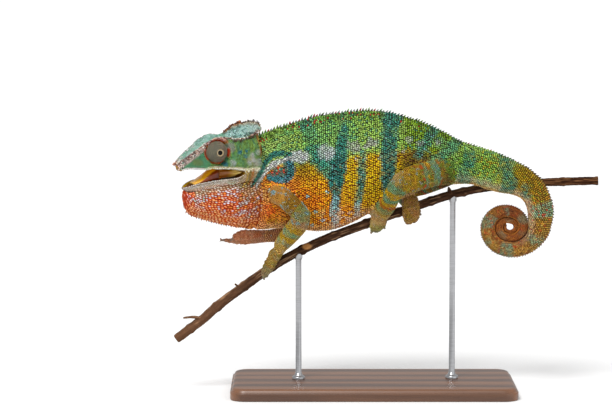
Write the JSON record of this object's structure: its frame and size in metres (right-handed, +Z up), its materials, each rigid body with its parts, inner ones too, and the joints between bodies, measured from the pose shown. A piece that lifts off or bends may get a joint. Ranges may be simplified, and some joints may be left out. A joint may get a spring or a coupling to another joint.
{
  "type": "panther chameleon model",
  "caption": "Life-size still model of an adult male panther chameleon gripping a cut branch, mouth open and tail coiled, held on two rods above a flat base.",
  "frame": {"origin": "centre of the bounding box on the plane that the base stands on", "axes": "+Z up; the trunk and the branch run along X; the head faces -X and the animal's left side faces -Y"},
  "size_m": [0.2852, 0.084, 0.1902],
  "materials": {
    "casque_skin": "small smooth scales, satin",
    "eye_turret": "fine concentric scales, matt, with a glossy eyeball at the tip",
    "lip_skin": "fine scales, satin",
    "mouth_lining": "moist, semi-gloss",
    "tongue": "moist, semi-gloss",
    "throat_skin": "rows of raised scales, satin",
    "nape_skin": "granular scales, satin",
    "trunk_skin": "granular scales with teal bars, satin",
    "coil_skin": "granular scales, satin",
    "leg_skin": "granular scales, satin",
    "open_hand_skin": "granular scales, matt",
    "bark": "rough bark, matt",
    "walnut": "oiled, satin",
    "rod_steel": "brushed"
  },
  "bodies": {
    "root": {"head": "casque_skin", "eye_left": "eye_turret", "eye_right": "eye_turret", "lower_jaw": "lip_skin", "mouth_lining": "mouth_lining", "tongue": "tongue", "throat_pouch": "throat_skin", "neck": "nape_skin", "trunk": "trunk_skin", "tail_1": "nape_skin", "tail_2": "nape_skin", "tail_3": "coil_skin", "tail_4": "coil_skin", "tail_5": "coil_skin", "perch": "bark", "upper_arm_left": "coil_skin", "forearm_left": "coil_skin", "upper_arm_right": "coil_skin", "forearm_right": "coil_skin", "thigh_left": "leg_skin", "shin_left": "leg_skin", "thigh_right": "leg_skin", "shin_right": "leg_skin", "hand_left": "leg_skin", "hand_right": "open_hand_skin", "foot_left": "leg_skin", "foot_right": "leg_skin", "stand_base": "walnut", "stand_rod_1": "rod_steel", "stand_rod_2": "rod_steel"}
  },
  "joints": []
}
